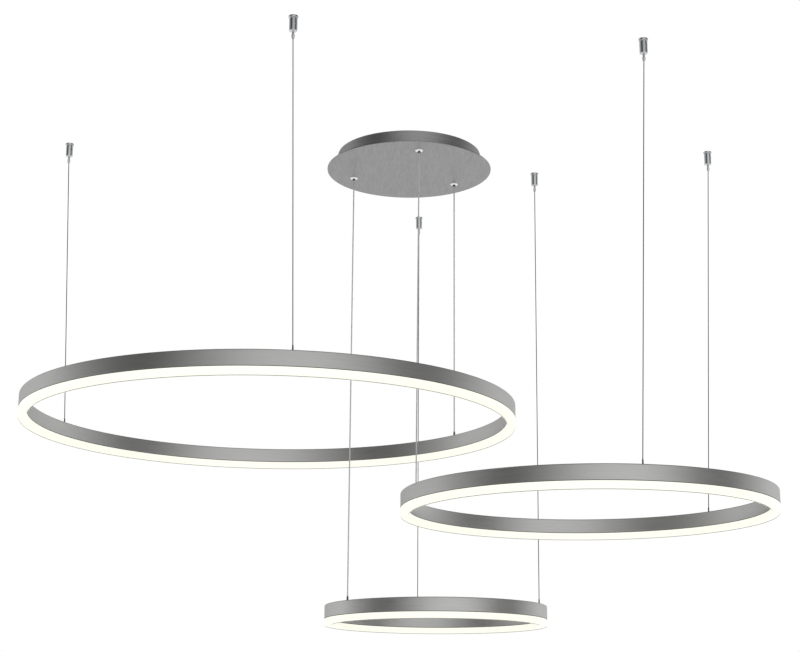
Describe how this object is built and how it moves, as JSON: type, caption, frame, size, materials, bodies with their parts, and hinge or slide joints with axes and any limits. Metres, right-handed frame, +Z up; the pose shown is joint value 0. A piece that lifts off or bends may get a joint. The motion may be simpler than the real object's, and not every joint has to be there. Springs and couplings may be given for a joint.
{
  "type": "ring chandelier",
  "caption": "Chandelier of lit rings in graded sizes, hung at staggered heights from a round ceiling canopy on gripped steel wires and clear power cords.",
  "frame": {"origin": "middle of the canopy's ceiling face, on the ceiling plane", "axes": "+Z up to the ceiling, -Y towards the viewer in the picture, +X to the viewer's right"},
  "size_m": [1.2139, 0.9575, 0.8358],
  "materials": {
    "titanium_aluminium": "fine brushed and anodised, titanium grey, satin",
    "brushed_aluminium": "fine brushed, titanium grey, satin",
    "opal_diffuser": "opal acrylic, evenly lit warm white from inside",
    "circuit_board": "white solder mask",
    "chrome": "polished chrome plate",
    "nickel": "dark nickel plate, satin",
    "steel_wire": "stranded stainless steel",
    "clear_cord": "clear sheath over tinned strands",
    "zinc_plated_steel": "zinc plated",
    "driver_case": "moulded, fine texture",
    "terminal_plastic": "moulded, semi-matt"
  },
  "bodies": {
    "root": {"canopy_bracket": "zinc_plated_steel", "canopy_can": "brushed_aluminium", "canopy_face_plate": "brushed_aluminium", "canopy_screw_left": "zinc_plated_steel", "canopy_screw_right": "zinc_plated_steel", "led_driver_front": "driver_case", "led_driver_back": "driver_case", "terminal_block": "terminal_plastic", "large_cord": "clear_cord", "large_gland": "chrome", "large_gland_nut": "nickel", "large_wire_front": "steel_wire", "large_gripper_cap_front": "chrome", "large_gripper_barrel_front": "chrome", "large_wire_left": "steel_wire", "large_gripper_cap_left": "chrome", "large_gripper_barrel_left": "chrome", "medium_cord": "clear_cord", "medium_gland": "chrome", "medium_gland_nut": "nickel", "medium_wire_front": "steel_wire", "medium_gripper_cap_front": "chrome", "medium_gripper_barrel_front": "chrome", "medium_wire_right": "steel_wire", "medium_gripper_cap_right": "chrome", "medium_gripper_barrel_right": "chrome", "small_cord": "clear_cord", "small_gland": "chrome", "small_gland_nut": "nickel", "small_wire_right": "steel_wire", "small_gripper_cap_right": "chrome", "small_gripper_barrel_right": "chrome", "small_wire_back": "steel_wire", "small_gripper_cap_back": "chrome", "small_gripper_barrel_back": "chrome"},
    "large_ring": {"large_housing": "titanium_aluminium", "large_diffuser": "opal_diffuser", "large_led_board": "circuit_board", "large_cord_inlet": "nickel", "large_anchor_front": "nickel", "large_anchor_left": "nickel"},
    "large_front_plunger": {"large_gripper_plunger_front": "chrome"},
    "large_left_plunger": {"large_gripper_plunger_left": "chrome"},
    "medium_ring": {"medium_housing": "titanium_aluminium", "medium_diffuser": "opal_diffuser", "medium_led_board": "circuit_board", "medium_cord_inlet": "nickel", "medium_anchor_front": "nickel", "medium_anchor_right": "nickel"},
    "medium_front_plunger": {"medium_gripper_plunger_front": "chrome"},
    "medium_right_plunger": {"medium_gripper_plunger_right": "chrome"},
    "small_ring": {"small_housing": "titanium_aluminium", "small_diffuser": "opal_diffuser", "small_led_board": "circuit_board", "small_cord_inlet": "nickel", "small_anchor_right": "nickel", "small_anchor_back": "nickel"},
    "small_right_plunger": {"small_gripper_plunger_right": "chrome"},
    "small_back_plunger": {"small_gripper_plunger_back": "chrome"}
  },
  "joints": [
    {"name": "large_ring_height", "type": "slide", "parent": "root", "child": "large_ring", "axis": [0, 0, 1], "range_m": [0, 0.44], "deforming": ["large_cord", "large_wire_front", "large_wire_left"]},
    {"name": "medium_ring_height", "type": "slide", "parent": "root", "child": "medium_ring", "axis": [0, 0, 1], "range_m": [0, 0.09], "deforming": ["medium_cord", "medium_wire_front", "medium_wire_right"]},
    {"name": "small_ring_height", "type": "slide", "parent": "root", "child": "small_ring", "axis": [0, 0, 1], "range_m": [0, 0.09], "deforming": ["small_cord", "small_wire_right", "small_wire_back"]},
    {"name": "large_front_release", "type": "slide", "parent": "root", "child": "large_front_plunger", "axis": [0, 0, 1], "range_m": [0, 0.0015], "stiffness_N_per_m": 800, "springref_m": -0.002},
    {"name": "large_left_release", "type": "slide", "parent": "root", "child": "large_left_plunger", "axis": [0, 0, 1], "range_m": [0, 0.0015], "stiffness_N_per_m": 800, "springref_m": -0.002},
    {"name": "medium_front_release", "type": "slide", "parent": "root", "child": "medium_front_plunger", "axis": [0, 0, 1], "range_m": [0, 0.0015], "stiffness_N_per_m": 800, "springref_m": -0.002},
    {"name": "medium_right_release", "type": "slide", "parent": "root", "child": "medium_right_plunger", "axis": [0, 0, 1], "range_m": [0, 0.0015], "stiffness_N_per_m": 800, "springref_m": -0.002},
    {"name": "small_right_release", "type": "slide", "parent": "root", "child": "small_right_plunger", "axis": [0, 0, 1], "range_m": [0, 0.0015], "stiffness_N_per_m": 800, "springref_m": -0.002},
    {"name": "small_back_release", "type": "slide", "parent": "root", "child": "small_back_plunger", "axis": [0, 0, 1], "range_m": [0, 0.0015], "stiffness_N_per_m": 800, "springref_m": -0.002}
  ]
}
